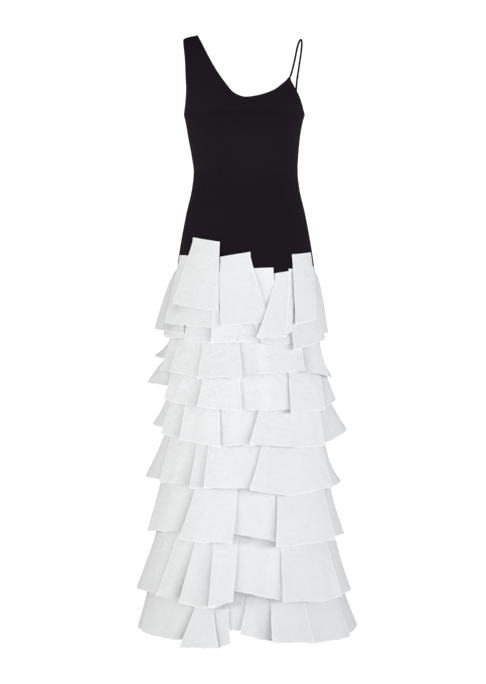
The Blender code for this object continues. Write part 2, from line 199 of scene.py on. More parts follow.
# Top edge of each panel, above or below the shoulder line: the shoulder seam, then the neckline from it to
# the +X side
TopEdge = namedtuple("TopEdge", "angle height")
SHOULDER_SEAM = (
    TopEdge(-90, -0.25),
    TopEdge(-50, 0.95),
)
FRONT_NECKLINE = (
    TopEdge(-50, 0.95),
    TopEdge(-40, -4.2),
    TopEdge(-30, -8.5),
    TopEdge(-20, -12.1),
    TopEdge(-10, -14.9),
    TopEdge(0, -15.8),
    TopEdge(10, -15.5),
    TopEdge(30, -14.1),
    TopEdge(50, -12.1),
    TopEdge(60, -11.4),
    TopEdge(70, -10.7),
    TopEdge(80, -10.0),
    TopEdge(90, -9.5),
)
BACK_NECKLINE = (
    TopEdge(-50, 0.95),
    TopEdge(-40, -7.6),
    TopEdge(-30, -12.4),
    TopEdge(-20, -15.8),
    TopEdge(-10, -17.8),
    TopEdge(0, -18.4),
    TopEdge(20, -18.2),
    TopEdge(50, -17.2),
    TopEdge(90, -15.4),
)

# The rolled strap: its route, its size, the raised line of its seam, how finely it is made, and the least
# width of a cut, in metres
StrapPoint = namedtuple("StrapPoint", "x y z")
STRAP_ROUTE = (
    StrapPoint(11.1, -5.7, -10.15),
    StrapPoint(11.6, -5.6, -8.4),
    StrapPoint(12.15, -5.1, -6.1),
    StrapPoint(12.8, -3.7, -2.9),
    StrapPoint(13.4, -1.9, -0.9),
    StrapPoint(13.9, 0.1, -0.2),
    StrapPoint(14.15, 1.9, -0.8),
    StrapPoint(14.0, 3.5, -2.9),
    StrapPoint(13.55, 4.4, -6.0),
    StrapPoint(12.9, 4.4, -10.6),
    StrapPoint(12.65, 3.69, -15.3),
)
STRAP_RADIUS = 0.26
STRAP_WALL = 0.06
STRAP_SEAM_RISE = 0.09
STRAP_SEAM_WIDTH = 0.35
STRAP_STEP = 0.125
STRAP_SIDES = 14

# Flaps of the top tier, each sewn on by itself: angles of the top and of the hem, drops of their four
# corners, how far each hem corner stands off the gown and how soon it does so (1 is straight, less is
# sooner), how many layers hang between flap and gown, how much painted shade darkens its cloth all over,
# and if the back has it
TopFlap = namedtuple(
    "TopFlap",
    "top_left top_right hem_left hem_right drop_tl drop_tr drop_hl drop_hr"
    " out_left out_right bend_left bend_right layer shade back_too",
)
TOP_FLAPS = (
    TopFlap(-93, -60, -93, -47.5, 56.3, 56.6, 72.4, 73.7, 4.5, 2.0, 0.7, 1.3, 0, 0.13, True),
    TopFlap(-75, -28, -66, -22.5, 54.2, 54.8, 71.1, 72.5, 3.2, 1.5, 1.25, 1.25, 1, 0.08, True),
    TopFlap(-52, -22.3, -58, -19, 50.0, 51.3, 66.4, 68.4, 2.8, 1.3, 1.25, 1.25, 2, 0.08, True),
    TopFlap(-23.2, 5, -24.0, 15, 58.7, 58.7, 75.9, 75.9, 2.3, 1.0, 0.5, 0.9, 0, 0.06, True),
    TopFlap(-21.5, 4, -17, 17, 55.0, 53.8, 72.1, 70.8, 2.0, 1.1, 0.8, 1.25, 1, 0.08, True),
    TopFlap(6, 23, 8, 23, 57.8, 57.6, 70.2, 70.2, 0.9, 1.1, 0.9, 0.9, 0, 0.03, False),
    TopFlap(24, 37, 7, 28, 59.0, 58.4, 74.7, 74.7, 1.8, 2.1, 1.1, 1.1, 2, 0.06, True),
    TopFlap(37.5, 45, 26, 33, 57.8, 57.8, 73.5, 73.5, 2.0, 2.0, 1.25, 1.25, 0, 0.02, False),
    TopFlap(42, 73, 36, 56, 54.3, 53.5, 71.5, 70.3, 2.1, 2.4, 1.25, 1.25, 1, 0.05, True),
    TopFlap(48, 93, 33, 93, 57.2, 57.0, 74.5, 73.5, 1.7, 2.3, 1.25, 0.5, 0, 0.07, True),
)

# Top flaps with painted shade beside the edge of another one, where its shadow falls: the shaded flap, the
# flap that it lies beneath, on which side that one is, and how strong the painted shade is, as if the flap
# sank by so much
Shaded = namedtuple("Shaded", "flap beneath side depth")
TOP_SHADES = (
    Shaded(1, 2, "right", 0.6),
    Shaded(2, 3, "right", 0.5),
    Shaded(6, 5, "left", 0.25),
    Shaded(10, 9, "left", 0.4),
)

# Tiers sewn on as strips. Over names, for each place where two flaps meet, the one that lies on top:
# L the left one, R the right one, and - where a gap parts them. Dips are how far the other one sinks
# towards it at the hem, and they also set how strong the painted shade beside that edge is. The shade is
# how much painted shade darkens the tier's cloth all over. A flap's row gives the angles of its top's left
# end and of its hem's ends, how much lower than the tier's hem these hang, how far they stand off the
# gown, and how soon they do so where that isn't the usual.
Tier = namedtuple("Tier", "name seam hem over dips shade flaps")
Flap = namedtuple(
    "Flap",
    "top left right low_left low_right out_left out_right bend_left bend_right",
    defaults=(BEND_POWER, BEND_POWER),
)
TIERS = (
    Tier("tier_1_under", 64.0, 76.0, "RRR-RL", (0.1, 0.1, 0.1, 0.0, 0.1, 0.1), 0.06, (
        Flap(-92, -92, -68, -2.0, -1.7, 2.2, 1.5),
        Flap(-70, -69, -45.5, -1.2, -1.2, 2.5, 2.3),
        Flap(-47, -45.5, -24, -0.5, 0.1, 2.3, 1.4),
        Flap(-25, -24, -7, -0.7, -0.7, 1.2, 1.2),
        Flap(0, 11, 33, 0.2, 0.2, 1.8, 1.5),
        Flap(36, 33, 70, 1.7, -0.6, 2.3, 1.7),
        Flap(72, 70, 92, -0.7, -1.3, 1.7, 1.4),
    )),
    Tier("tier_2", 70.8, 84.0, "RRRLLL", (0.2, 0.4, 0.2, 0.1, 1.0, 0.5), 0.03, (
        Flap(-92, -92, -73, -4.9, -4.0, 4.1, 2.8, 2.6, 1.6),
        Flap(-76, -69, -53, -1.4, -0.9, 3.3, 2.7),
        Flap(-58, -55, -29, -0.9, 0.2, 3.5, 2.7),
        Flap(-32, -31, -2, 0.4, 0.2, 3.5, 3.3),
        Flap(-4, -3, 40, -0.4, -1.3, 2.9, 3.3),
        Flap(47, 37, 67, -1.0, 0.0, 2.5, 2.9),
        Flap(70, 65, 92, 0.1, 0.6, 2.5, 2.9, 1.5, 3.0),
    )),
    Tier("tier_3", 77.3, 92.0, "RRLRL", (0.6, 0.6, 0.05, 0.05, 1.1), 0.01, (
        Flap(-92, -92, -63, -6.2, -5.4, 5.7, 3.3, 0.8, 1.25),
        Flap(-66, -59, -28, -2.5, -0.5, 3.9, 2.8),
        Flap(-30, -30, -2, -0.7, 0.5, 3.6, 3.2),
        Flap(-4, -4, 27, 0.0, 0.2, 3.0, 2.8),
        Flap(33, 28, 58, 0.9, 0.4, 3.6, 3.2),
        Flap(74, 55, 92, 0.4, -1.8, 2.4, 3.5),
    )),
    Tier("tier_4", 84.3, 100.5, "RRLRL", (0.4, 0.6, 0.1, 0.05, 0.6), 0.01, (
        Flap(-92, -92, -59, -4.2, -3.7, 3.9, 3.0, 2.0, 1.25),
        Flap(-64, -61, -40, -2.3, -1.4, 3.9, 3.0),
        Flap(-47, -42, -15, -1.1, 0.6, 3.9, 3.3),
        Flap(-18, -17, 5, 0.2, 0.0, 3.1, 3.3),
        Flap(14, 2, 55, -0.4, 0.4, 4.0, 4.0),
        Flap(65, 53, 92, 0.1, -2.7, 3.6, 5.9),
    )),
    Tier("tier_5", 94.8, 111.0, "RRRRL", (0.8, 0.85, 0.25, 0.05, 1.3), 0.01, (
        Flap(-92, -92, -56, -1.6, -1.6, 4.7, 3.0),
        Flap(-66, -58, -33, -1.1, -0.9, 4.0, 3.2),
        Flap(-35, -34, -22, -0.1, 0.0, 3.4, 3.2),
        Flap(-26, -24, 5, -0.3, -0.4, 4.0, 3.5),
        Flap(14, 2, 63, 0.0, 0.6, 4.2, 3.2),
        Flap(66, 61, 92, 0.4, -0.4, 2.8, 3.3, 1.6, 3.0),
    )),
    Tier("tier_6", 107.3, 123.0, "RRLRL", (0.7, 1.2, 0.05, 0.15, 0.8), 0.01, (
        Flap(-92, -92, -66, 0.1, -0.8, 2.5, 2.1, 0.85, 1.25),
        Flap(-82, -69, -37, -0.9, -1.4, 3.0, 2.6),
        Flap(-34, -39, -7, 0.0, 0.6, 3.5, 3.4),
        Flap(-3, -9, 18, -1.8, 0.6, 2.5, 2.5),
        Flap(22, 16, 58, 1.6, 1.0, 3.6, 3.2),
        Flap(67, 56, 92, 0.4, 0.5, 2.5, 2.5),
    )),
    Tier("tier_7", 120.8, 137.5, "RRRLRL", (0.7, 1.1, 0.4, 0.15, 0.1, 1.0), 0.02, (
        Flap(-92, -92, -49, -0.3, -0.6, 3.1, 2.4),
        Flap(-48, -51, -33, -0.4, -0.4, 3.3, 2.6),
        Flap(-32, -35, -16, 0.5, 1.4, 3.5, 2.8),
        Flap(-20, -18, -6, 1.1, -0.4, 3.8, 3.6),
        Flap(-3, -8, 19, -2.8, -0.3, 2.8, 3.0),
        Flap(22, 18, 57, 0.0, 0.0, 3.6, 3.2),
        Flap(62, 55, 92, 0.0, 0.1, 2.4, 2.2, 1.25, 1.8),
    )),
    Tier("tier_8", 134.8, 147.5, "RRLLRRLL", (0.8, 1.3, 0.2, 0.15, 0.1, 0.4, 0.2, 0.5), 0.05, (
        Flap(-92, -92, -65, -0.4, -0.8, 1.7, 1.3),
        Flap(-72, -67, -31, -0.8, -0.4, 2.1, 1.5),
        Flap(-27, -34, -13, 1.1, 1.0, 2.6, 2.3),
        Flap(-18, -15, -7, 0.9, -0.2, 2.2, 2.5),
        Flap(-9, -8, -2, -3.2, -3.3, 1.8, 1.6),
        Flap(1, -3, 15, -2.5, -0.3, 2.2, 1.7),
        Flap(14, 13, 35, -0.3, -0.1, 2.6, 2.8),
        Flap(36, 33, 65, 0.5, 0.3, 2.0, 2.6),
        Flap(66, 63, 92, 0.1, -1.1, 2.2, 2.7),
    )),
)

# Places where a tier's or a top flap's hem hangs lower in a soft corner, or higher where low is below 0
HemCorner = namedtuple("HemCorner", "hem_of angle reach_left reach_right low")
HEM_CORNERS = (
    HemCorner("tier_4", 32, 30, 24, 0.7),
    HemCorner("tier_5", 29, 28, 24, 1.5),
    HemCorner("tier_6", -22, 16, 3, 0.6),
    HemCorner("tier_7", -24, 10, 8, 0.6),
    HemCorner("tier_7", 40, 14, 16, 0.5),
    HemCorner("tier_8", -48, 20, 16, 0.4),
    HemCorner("tier_3", -46, 16, 16, 0.4),
    HemCorner("tier_2", -30, 12, 14, 0.3),
    HemCorner("top_flap_front_5", -17.5, 2, 2.5, -0.7),
)

# Soft creases of the tiers: a trough at an angle, its half width, its depth at the hem, and how it leans
Crease = namedtuple("Crease", "tier angle width depth lean")
CREASES = (
    Crease("tier_2", 9, 3.5, 0.45, 0),
    Crease("tier_2", -41, 4, 0.3, 2),
    Crease("tier_3", -39, 5, 0.6, 2),
    Crease("tier_3", 10, 3.5, 0.4, 0),
    Crease("tier_4", -35, 5, 0.6, 3),
    Crease("tier_4", 53, 5, 0.5, -4),
    Crease("tier_5", -39, 4, 0.6, 3),
    Crease("tier_5", 24, 7, 0.35, -2),
    Crease("tier_6", -43, 7, 0.5, 2),
    Crease("tier_6", 11, 5, 0.5, 0),
    Crease("tier_7", -35, 4, 0.4, 2),
    Crease("tier_7", -26, 3.5, 0.35, 2),
    Crease("tier_7", 12, 4, 0.6, 0),
    Crease("tier_7", 52, 4, 0.5, -3),
    Crease("tier_8", 12, 3, 0.5, 3),
    Crease("tier_8", -50, 6, 0.35, 2),
    Crease("tier_8", 50, 6, 0.3, -2),
)


# Numbers and grids of points
def between(low, high, share):
    return low + (high - low) * share


def eased(value):
    """A smooth step from 0 to 1."""
    value = np.clip(value, 0.0, 1.0)
    return value * value * (3.0 - 2.0 * value)


def smooth_curve(rows, key, column, at):
    """A table's column as a smooth curve that never overshoots between its rows."""
    places = np.array([getattr(row, key) for row in rows], float)
    values = np.array([getattr(row, column) for row in rows], float)
    steps = np.diff(places)
    slopes = np.diff(values) / steps
    turning = slopes[:-1] * slopes[1:]
    total = np.where(turning > 0, slopes[:-1] + slopes[1:], 1.0)
    inner = np.where(turning > 0, 2.0 * turning / total, 0.0)
    tangents = np.concatenate([slopes[:1], inner, slopes[-1:]])
    at = np.asarray(at, float)
    low = np.clip(np.searchsorted(places, at, side="right") - 1, 0, len(steps) - 1)
    t = np.clip((at - places[low]) / steps[low], 0.0, 1.0)
    start, end = values[low], values[low + 1]
    lean_in, lean_out = tangents[low] * steps[low], tangents[low + 1] * steps[low]
    return (
        start + (end - start) * t * t * (3.0 - 2.0 * t)
        + lean_in * t * (1.0 - t) ** 2 - lean_out * t * t * (1.0 - t)
    )


def on_gown(drop, angle, out):
    """Points on the gown's smooth rounded section, moved out by a distance, in metres."""
    turn = np.radians(angle)
    drop = drop + 0.0 * turn
    sides = {name: smooth_curve(BODY, "drop", name, drop) for name in Section._fields[1:]}
    side = np.where(np.sin(turn) > 0, sides["plus_x"], sides["minus_x"])
    depth = np.where(np.cos(turn) > 0, sides["front"], sides["back"])
    x = (side + out) * np.sin(turn)
    y = -(depth + out) * np.cos(turn)
    return np.stack([x, y, -drop], axis=-1) * CM


def waves_at(waves, turn, number, low):
    """The height of some waves added up."""
    return sum(
        wave.height * np.sin(wave.turns * turn + wave.start * number + wave.lean * low) for wave in waves
    )


def along_cloth(grid, axis):
    """The length along the cloth to each point: from a grid's first row, axis 0, or first column, axis 1."""
    steps = np.linalg.norm(np.diff(grid, axis=axis), axis=2)
    return np.concatenate([np.zeros_like(steps.take([0], axis)), np.cumsum(steps, axis)], axis)


def cloth_lengths(grid):
    """The greatest length across a grid of points and down it, and its area."""
    across = np.linalg.norm(np.diff(grid, axis=1), axis=2)
    down = np.linalg.norm(np.diff(grid, axis=0), axis=2)
    sides = (np.diff(grid, axis=0)[:, :-1], np.diff(grid, axis=1)[:-1])
    area = np.linalg.norm(np.cross(*sides), axis=2).sum()
    return across.sum(axis=1).max(), down.sum(axis=0).max(), area


def outward(grid):
    """Unit normals of a grid whose rows run down and whose columns run left to right."""
    normals = np.cross(np.gradient(grid, axis=0), np.gradient(grid, axis=1))
    return normals / np.linalg.norm(normals, axis=2, keepdims=True)


# Meshes
def from_borders(grid):
    """How far each point of a grid lies from its nearest border, in centimetres."""
    across, down = along_cloth(grid, 1), along_cloth(grid, 0)
    return np.minimum.reduce([across, across[:, -1:] - across, down, down[-1:] - down]) / CM


def cloth_mesh(name, grids, thickness, material, weave_offset=0.0, edges=None, painted_shades=None):
    """One piece of thin cloth from grids of points.

    Each grid has a flat layout in metres. Each point knows how far the nearest cut edge is, in
    centimetres, and how much painted shade darkens the cloth there.
    """
    points, faces, flats, cuts, painted_shade_lists = [], [], [], [], []
    first = 0
    for number, grid in enumerate(grids):
        cuts.append((from_borders(grid) if edges is None else edges).reshape(-1))
        painted_shade_lists.append((painted_shades[number] if painted_shades else np.zeros(grid.shape[:2])).reshape(-1))
        rows, columns = grid.shape[:2]
        index = first + np.arange(rows * columns).reshape(rows, columns)
        quads = np.stack([index[:-1, :-1], index[1:, :-1], index[1:, 1:], index[:-1, 1:]], axis=-1)
        faces.append(quads.reshape(-1, 4))
        points.append(grid.reshape(-1, 3))
        across, down = along_cloth(grid, 1), along_cloth(grid, 0)
        across = across - across[:, -1:] / 2 + weave_offset
        down = np.broadcast_to(down[:, [columns // 2]], down.shape)
        flats.append(np.stack([across, -down], axis=-1).reshape(-1, 2))
        first += rows * columns
    points, faces, flats = (np.concatenate(part) for part in (points, faces, flats))
    mesh = bpy.data.meshes.new(name)
    mesh.from_pydata(points.tolist(), [], faces.tolist())
    layout = mesh.uv_layers.new(name="cloth")
    layout.data.foreach_set("uv", flats[faces.reshape(-1)].astype(np.float32).reshape(-1))
    # Each point's distance to a cut edge, and its painted shade: how much darker its colour is drawn where
    # shadow falls
    for label, values in (("cut_edge", cuts), ("painted_shade", painted_shade_lists)):
        attribute = mesh.attributes.new(label, "FLOAT", "POINT")
        attribute.data.foreach_set("value", np.concatenate(values).astype(np.float32))
    return thickened(name, mesh, thickness, material)


def thickened(name, mesh, thickness, material):
    """The mesh given its cloth thickness outwards, with the cut edges kept sharp."""
    mesh.materials.append(material)
    mesh.shade_smooth()
    rough = bpy.data.objects.new(name, mesh)
    bpy.context.scene.collection.objects.link(rough)
    wall = rough.modifiers.new("cloth", "SOLIDIFY")
    wall.thickness = thickness * CM
    wall.offset = 1.0
    bpy.context.view_layer.update()
    depsgraph = bpy.context.evaluated_depsgraph_get()
    finished = bpy.data.meshes.new_from_object(rough.evaluated_get(depsgraph))
    rough.modifiers.clear()
    rough.data = finished
    finished.name = name
    finished.shade_smooth()
    finished.set_sharp_from_angle(angle=math.radians(SHARP_ANGLE))
    return rough


def declare(piece, node):
    """Hangs a piece on the root and hides the solid of model.glb that it stands for."""
    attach(piece, "root")
    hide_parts(node)


# Flaps
def held_inside(across):
    """The share across a flap, held to its side edges where the cloth runs on under a neighbour."""
    return np.clip(across, 0.0, 1.0)


class FlapForm:
    """One flap's shape, each pair from left to right: its corners, its stand-off, and whether its side
    edges lie on top of a neighbour (ups) or sink under one (dips)."""

    def __init__(self, tops, hems, strip_drops, hem_drops, outs, ups=(0.0, 0.0), dips=(0.0, 0.0),
                 bends=(BEND_POWER, BEND_POWER), layer=0):
        self.tops, self.hems, self.strip_drops, self.hem_drops = tops, hems, strip_drops, hem_drops
        self.outs, self.ups, self.dips, self.bends, self.layer = outs, ups, dips, bends, layer
        self.width = hems[1] - hems[0]
        self.radius = float(smooth_curve(BODY, "drop", "front", hem_drops[0]))

    def turned(self, by):
        """The same flap with its angles counted from another full turn."""
        tops, hems = (tuple(angle + by for angle in pair) for pair in (self.tops, self.hems))
        return FlapForm(
            tops, hems, self.strip_drops, self.hem_drops, self.outs, self.ups, self.dips, self.bends,
        )

    def angles(self, across, share):
        return between(between(*self.tops, across), between(*self.hems, across), share)

    def drops(self, across, share):
        return between(between(*self.strip_drops, across), between(*self.hem_drops, across), share)

    def inwards(self, across, side):
        """Degrees in from this flap's edge, for a flap that has it on its left or right."""
        return (across if side == "right" else 1.0 - across) * self.width

    def out(self, across, share):
        """How far off the gown the flap hangs."""
        inside = held_inside(across)
        # How far the round gown bulges past a straight line between the flap's sides, most in the middle
        bulge = self.radius * (1 - math.cos(math.radians(self.width) / 2))
        hollow = FLATNESS * bulge * 4 * inside * (1 - inside)
        lift = between(*self.ups, inside) * between(STRIP_LIFT, HEM_LIFT, share)
        layer = self.layer * between(SEAT, LAYER_LIFT, share)
        dip = self.dips[0] * eased(1.0 - self.inwards(across, "right") / DIP_REACH)
        dip = dip + self.dips[1] * eased(1.0 - self.inwards(across, "left") / DIP_REACH)
        off = between(*self.outs, inside) - hollow - dip
        return SEAT + layer + lift + off * share ** between(*self.bends, inside)

    def place_of(self, angle, drop):
        """The shares across and down this flap at an angle and a drop of the gown, in a few rounds."""
        share = np.clip((drop - self.strip_drops[0]) / (self.hem_drops[0] - self.strip_drops[0]), 0.0, 1.0)
        for _ in range(3):
            left = between(self.tops[0], self.hems[0], share)
            right = between(self.tops[1], self.hems[1], share)
            across = (angle - left) / (right - left)
            strip = between(*self.strip_drops, held_inside(across))
            hem = between(*self.hem_drops, held_inside(across))
            share = np.clip((drop - strip) / (hem - strip), 0.0, 1.0)
        return across, share


def tucked(out, angles, drops, shares, neighbour, side):
    """Lays the part of a flap near its neighbour under it."""
    across, share = neighbour.place_of(angles, drops)
    cover = neighbour.out(across, share) - between(STRIP_LIFT, HEM_LIFT, shares) * TUCK_DEPTH
    weight = eased(neighbour.inwards(across, side) / TUCK_BLEND + 1.0)
    return out + weight * (np.minimum(out, cover) - out)


def painted_edge_shade(angles, drops, share, radius, neighbour, side, dip):
    """Painted shade on a flap beside the edge of the neighbour that covers it, where that edge's shadow
    falls.

    It is more so towards the hem, and ends softly at the neighbour's own hem.
    """
    across = neighbour.place_of(angles, drops)[0]
    away = np.abs(np.radians(neighbour.inwards(across, side))) * radius
    dim = dip * (EDGE_DIM * np.exp(-away / EDGE_REACH) + DIP_DIM * eased(1.0 - away / DIP_BAND))
    return dim * np.sqrt(share) * eased(0.5 + max(neighbour.hem_drops) - drops)


def tier_warp(number, angles, drops, seam, hem, creases):
    """Unevenness that all the flaps of a tier share, so that they never pass through each other."""
    low = np.clip((drops - seam - SEWN_STRIP) / (hem - seam - SEWN_STRIP), 0.0, BELOW_HEM)
    turn = np.radians(angles)
    calm = eased(np.abs(np.cos(turn)) / TIER_WAVE_CALM)
    warp = TIER_WAVE * waves_at(TIER_WAVES, turn, number, low) * calm * low**WAVE_GROWTH
    for crease in creases:
        middle = crease.angle + crease.lean * (low - 1.0)
        away = (angles - middle) / crease.width
        rim = CREASE_RIM * np.exp(-2.0 * (np.abs(away) - CREASE_RIM_PLACE) ** 2)
        warp += crease.depth * (rim - np.exp(-away * away)) * low**CREASE_GROWTH
    return warp


def hem_corners(corners, angles):
    """How much lower a hem hangs at each angle."""
    low = np.zeros_like(angles)
    for corner in corners:
        away = angles - corner.angle
        near = 1.0 - np.where(away < 0, -away / corner.reach_left, away / corner.reach_right)
        low = low + corner.low * np.clip(near, 0.0, 1.0)
    return low


def at_back(angle):
    """The place at the back that lies behind a place at the front."""
    return 180.0 - angle * BACK_REACH / FRONT_REACH


def both_at_back(angles):
    """The places of a flap's left and right side at the back, where they change sides."""
    return at_back(angles[1]), at_back(angles[0])


def tier_forms(tier, facing):
    """The flaps of one strip, from left to right as seen from outside, and which of them lies over which."""
    flaps, over = tier.flaps, tier.over
    ends = [flap.top for flap in flaps[1:]] + [flaps[-1].right + SLIT]
    rows = []
    for number, (flap, end) in enumerate(zip(flaps, ends)):
        left_up = 1.0 if number > 0 and over[number - 1] != "L" else 0.0
        right_up = 1.0 if number < len(over) and over[number] != "R" else 0.0
        left_dip = tier.dips[number - 1] if number > 0 and over[number - 1] == "L" else 0.0
        right_dip = tier.dips[number] if number < len(over) and over[number] == "R" else 0.0
        tops, hems = (flap.top, end - SLIT), (flap.left, flap.right)
        lows, outs = (flap.low_left, flap.low_right), (flap.out_left, flap.out_right)
        ups, dips, bends = (left_up, right_up), (left_dip, right_dip), (flap.bend_left, flap.bend_right)
        if facing == "back":
            inner = 0 < number < len(flaps) - 1
            change = BACK_HEM_CHANGE * math.sin(2.4 * number + 1.0) if inner else 0.0
            tops, hems = both_at_back(tops), both_at_back(hems)
            lows = (lows[1] + change, lows[0] - change)
            outs, ups, dips, bends = outs[::-1], ups[::-1], dips[::-1], bends[::-1]
        strip = tier.seam + SEWN_STRIP
        drops = tuple(tier.hem + low for low in lows)
        rows.append(FlapForm(tops, hems, (strip, strip), drops, outs, ups, dips, bends))
    if facing == "back":
        turned = {"L": "R", "R": "L", "-": "-"}
        return rows[::-1], "".join(turned[mark] for mark in over[::-1])
    return rows, over


def strip_grid(form, left, right, warp, shade, corners=(), shades=()):
    """One flap's points as cut, its points as it hangs, and how much painted shade darkens it at each.

    It runs on under the neighbours on its left and right that lie over it.
    """
    first = -TUCK / form.width if left else 0.0
    last = 1.0 + TUCK / form.width if right else 1.0
    across = np.linspace(first, last, FLAP_COLUMNS)[None, :]
    rows = np.concatenate([STRIP_ROWS, np.linspace(0.0, 1.0, FLAP_ROWS)])[:, None]
    share = np.clip(rows, 0.0, 1.0)
    inner = held_inside(across)
    # Each flap's waves begin at another place
    wobble = form.hems[0] + form.hem_drops[1]
    edge_wave = np.sin(6.0 * share + wobble) * share * (1.0 - share)
    angles = form.angles(across, share) + SIDE_EDGE_WAVE * edge_wave * (2.0 * inner - 1.0)
    beyond = np.abs(across - inner) * form.width / TUCK
    drops = form.drops(inner, share) + np.minimum(rows, 0.0) * SEWN_STRIP - TUCK_RISE * beyond * share
    drops += (HEM_WAVE * waves_at(HEM_WAVES, across, wobble, 0.0) + hem_corners(corners, angles)) * share**2
    out = form.out(across, share)
    # Painted shade: the piece's own darkening all over, then more beside the edges of the flaps that cover
    # it, where their shadow falls
    dim = np.full_like(out, shade)
    for neighbour, side, dip in ((left, "left", form.dips[0]), (right, "right", form.dips[1])):
        if neighbour:
            out = tucked(out, angles, drops, share, neighbour, side)
            dim = dim + painted_edge_shade(angles, drops, share, form.radius, neighbour, side, dip)
    for neighbour, side, depth in shades:
        dim = dim + painted_edge_shade(angles, drops, share, form.radius, neighbour, side, depth)
    flat = on_gown(drops, angles, out)
    return flat, on_gown(drops, angles, out + warp(angles, drops)), dim


def add_tier(number, tier, facing):
    """One strip of flaps, each run on under the neighbour that lies over it."""
    forms, over = tier_forms(tier, facing)
    creases = [crease for crease in CREASES if crease.tier == tier.name]
    corners = [corner for corner in HEM_CORNERS if corner.hem_of == tier.name]
    wave_start = number
    if facing == "back":
        wave_start += BACK_WAVE_START
        creases = [
            crease._replace(
                angle=at_back(crease.angle + BACK_CREASE_TURN), lean=-crease.lean,
                depth=BACK_CREASE_DEPTH * crease.depth,
            )
            for crease in creases
        ]
        corners = [
            corner._replace(
                angle=at_back(corner.angle - BACK_CORNER_TURN),
                reach_left=corner.reach_right, reach_right=corner.reach_left,
            )
            for corner in corners
        ]

    def warp(angles, drops):
        return tier_warp(wave_start, angles, drops, tier.seam, tier.hem, creases)

    covers_left, covers_right = [None] * len(forms), [None] * len(forms)
    for place, mark in enumerate(over):
        if mark == "L":
            covers_left[place + 1] = forms[place]
        elif mark == "R":
            covers_right[place] = forms[place + 1]
    # At the side seams the front strip runs on under the back strip
    if facing == "front":
        backs = tier_forms(tier, "back")[0]
        covers_left[0] = backs[-1].turned(-360.0)
        covers_right[-1] = backs[0]
    grids, painted_shades, sizes = [], [], []
    for form, left, right in zip(forms, covers_left, covers_right):
        flat, shaped, dim = strip_grid(form, left, right, warp, tier.shade, corners)
        grids.append(shaped)
        painted_shades.append(dim)
        sizes.append(cloth_lengths(flat))
    name = f"{tier.name}_{facing}"
    weave = TIER_WEAVE * number
    piece = cloth_mesh(f"cloth_{name}", grids, FLAP_CLOTH, white_cloth, weave, painted_shades=painted_shades)
    declare(piece, name)


def top_form(flap, facing):
    """The shape of one flap of the top tier."""
    tops, hems = (flap.top_left, flap.top_right), (flap.hem_left, flap.hem_right)
    strips, lows = (flap.drop_tl, flap.drop_tr), (flap.drop_hl, flap.drop_hr)
    outs, bends = (flap.out_left, flap.out_right), (flap.bend_left, flap.bend_right)
    if facing == "back":
        tops, hems = both_at_back(tops), both_at_back(hems)
        strips, lows, outs, bends = strips[::-1], lows[::-1], outs[::-1], bends[::-1]
    drops = tuple(drop + SEWN_STRIP for drop in strips)
    return FlapForm(tops, hems, drops, lows, outs, bends=bends, layer=flap.layer)


def add_top_flap(number, flap, facing):
    """One flap of the top tier. Gives back its points, which its stitches follow."""
    form = top_form(flap, facing)

    def warp(angles, drops):
        strip, hem = form.strip_drops[0], form.hem_drops[0]
        low = np.clip((drops - strip) / (hem - strip), 0.0, 1.0)
        return TOP_WAVE * waves_at(TOP_WAVES, np.radians(angles), number, low) * low**WAVE_GROWTH

    name = f"top_flap_{facing}_{number}"
    # Painted shade beside the edges of the flaps that this one lies beneath, where their shadow falls
    shades = [
        (top_form(TOP_FLAPS[shaded.beneath - 1], facing), shaded.side, shaded.depth)
        for shaded in TOP_SHADES if shaded.flap == number
    ]
    if facing == "back":
        shades = [(other, {"left": "right", "right": "left"}[side], depth) for other, side, depth in shades]
    corners = [corner for corner in HEM_CORNERS if corner.hem_of == name]
    flat, shaped, dim = strip_grid(form, None, None, warp, flap.shade, corners, shades)
    weave = TOP_WEAVE * number
    piece = cloth_mesh(f"cloth_{name}", [shaped], FLAP_CLOTH, white_cloth, weave, painted_shades=[dim])
    declare(piece, name)
    return shaped


# Bodice
def panel_grid(facing, armhole, neckline):
    """A bodice panel's points, down to the hip seam and from left to right as seen from outside."""
    angles = np.arange(-90.0, 90.0 + PANEL_STEP / 2, PANEL_STEP)
    top = np.where(
        angles <= SHOULDER_ANGLE,
        smooth_curve(SHOULDER_SEAM, "angle", "height", angles),
        smooth_curve(neckline, "angle", "height", angles),
    )
    side = np.sin(np.radians(angles))
    out_on_shoulder = np.maximum(0.0, np.abs(side) * armhole[-1].minus_x - SHOULDER_INNER)
    shoulder = SHOULDER_TOP - SHOULDER_SLOPE * out_on_shoulder
    shares = 1.0 - np.linspace(0.0, 1.0, UPPER_ROWS + 1)[:-1, None] ** UPPER_ROWS_CLOSER
    height = between(-UNDERARM_DROP, top, shares)
    rise = ARMHOLE_DEPTH * (height + UNDERARM_DROP) / (shoulder + UNDERARM_DROP)
    row = {name: smooth_curve(armhole, "rise", name, rise) for name in Armhole._fields[1:]}
    x = side * np.where(side > 0, row["plus_x"], row["minus_x"])
    depth = row["edge"] + (row["middle"] - row["edge"]) * np.cos(np.radians(angles))
    sign = -1.0 if facing == "front" else 1.0
    upper = np.stack([x, sign * np.maximum(depth, SIDE_CLEARANCE), height], axis=-1) * CM
    drops = np.linspace(UNDERARM_DROP, HIP_SEAM_DROP, LOWER_ROWS)[:, None]
    lower = on_gown(drops, angles if facing == "front" else 180.0 - angles, 0.0)
    lower[..., 1] = sign * np.maximum(sign * lower[..., 1], SIDE_CLEARANCE * CM)
    grid = np.concatenate([upper, lower], axis=0)
    return grid if facing == "front" else grid[:, ::-1]


def from_edges(grid):
    """How far each point of a panel lies from its top edge and from its nearer armhole, in centimetres."""
    # Where the top edge slants, it is nearer than the way up to it
    edge = np.gradient(grid[0], axis=0)
    slope = np.abs(edge[:, 2]) / np.linalg.norm(edge, axis=1)
    down = along_cloth(grid, 0) * np.sqrt(np.maximum(1.0 - slope**2, 0.05))
    left = along_cloth(grid, 1)
    right = left[:, -1:] - left
    below = np.maximum(0.0, -UNDERARM_DROP * CM - grid[..., 2])
    sideways = np.minimum(left, right) + below
    return down / CM, sideways / CM


